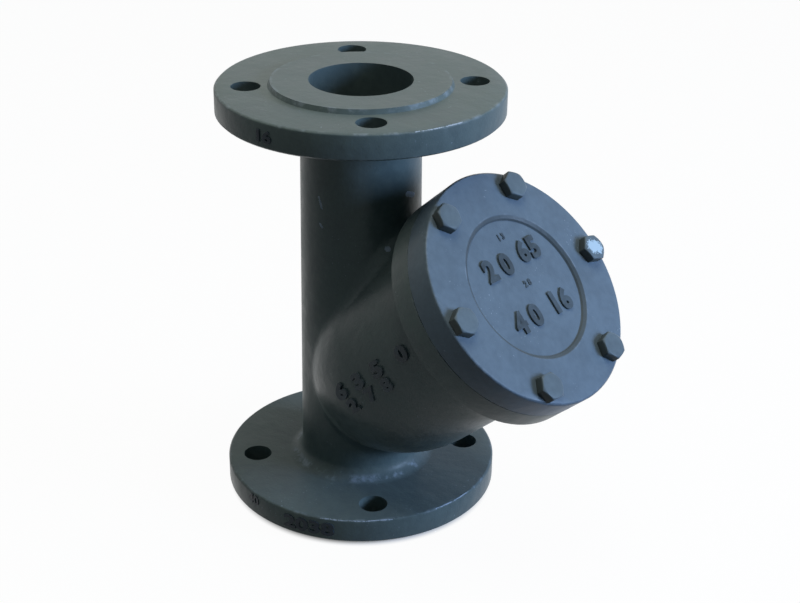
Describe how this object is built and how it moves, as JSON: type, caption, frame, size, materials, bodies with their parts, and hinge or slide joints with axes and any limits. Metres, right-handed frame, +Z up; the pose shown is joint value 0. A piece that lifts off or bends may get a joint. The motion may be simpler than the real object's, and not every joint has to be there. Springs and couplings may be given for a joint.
{
  "type": "flanged dirt strainer",
  "caption": "Cast iron Y strainer with pipe flanges, a slanted barrel, a bolted round cover and a perforated basket.",
  "frame": {"origin": "centre of the lower flange's raised sealing face, on the axis of the straight run", "axes": "+Z up the straight run from inlet to outlet, +X towards the leaning barrel"},
  "size_m": [0.2768, 0.185, 0.29],
  "materials": {
    "painted_casting": "painted",
    "bolt_steel": "painted",
    "stainless": "brushed",
    "gasket": "matt"
  },
  "bodies": {
    "casting": {"body_casting": "painted_casting", "cover_gasket": "gasket"},
    "cover": {"cover": "painted_casting"},
    "basket": {"basket_tube": "stainless", "basket_mesh": "stainless", "basket_lower_ring": "stainless", "basket_upper_ring": "stainless"},
    "bolt_1": {"cover_bolt_1": "bolt_steel"},
    "bolt_2": {"cover_bolt_2": "bolt_steel"},
    "bolt_3": {"cover_bolt_3": "bolt_steel"},
    "bolt_4": {"cover_bolt_4": "bolt_steel"},
    "bolt_5": {"cover_bolt_5": "bolt_steel"},
    "bolt_6": {"cover_bolt_6": "bolt_steel"}
  },
  "joints": [
    {"name": "cover_lift", "type": "slide", "parent": "casting", "child": "cover", "axis": [0.7396, 0, 0.673], "range_m": [0, 0.19]},
    {"name": "basket_draw", "type": "slide", "parent": "casting", "child": "basket", "axis": [0.7396, 0, 0.673], "range_m": [0, 0.162]},
    {"name": "bolt_1_out", "type": "slide", "parent": "cover", "child": "bolt_1", "axis": [0.7396, 0, 0.673], "range_m": [0, 0.045]},
    {"name": "bolt_2_out", "type": "slide", "parent": "cover", "child": "bolt_2", "axis": [0.7396, 0, 0.673], "range_m": [0, 0.045]},
    {"name": "bolt_3_out", "type": "slide", "parent": "cover", "child": "bolt_3", "axis": [0.7396, 0, 0.673], "range_m": [0, 0.045]},
    {"name": "bolt_4_out", "type": "slide", "parent": "cover", "child": "bolt_4", "axis": [0.7396, 0, 0.673], "range_m": [0, 0.045]},
    {"name": "bolt_5_out", "type": "slide", "parent": "cover", "child": "bolt_5", "axis": [0.7396, 0, 0.673], "range_m": [0, 0.045]},
    {"name": "bolt_6_out", "type": "slide", "parent": "cover", "child": "bolt_6", "axis": [0.7396, 0, 0.673], "range_m": [0, 0.045]}
  ],
  "couplings": [
    {"joint": "basket_draw", "follows": "cover_lift", "ratio": 0.85}
  ]
}
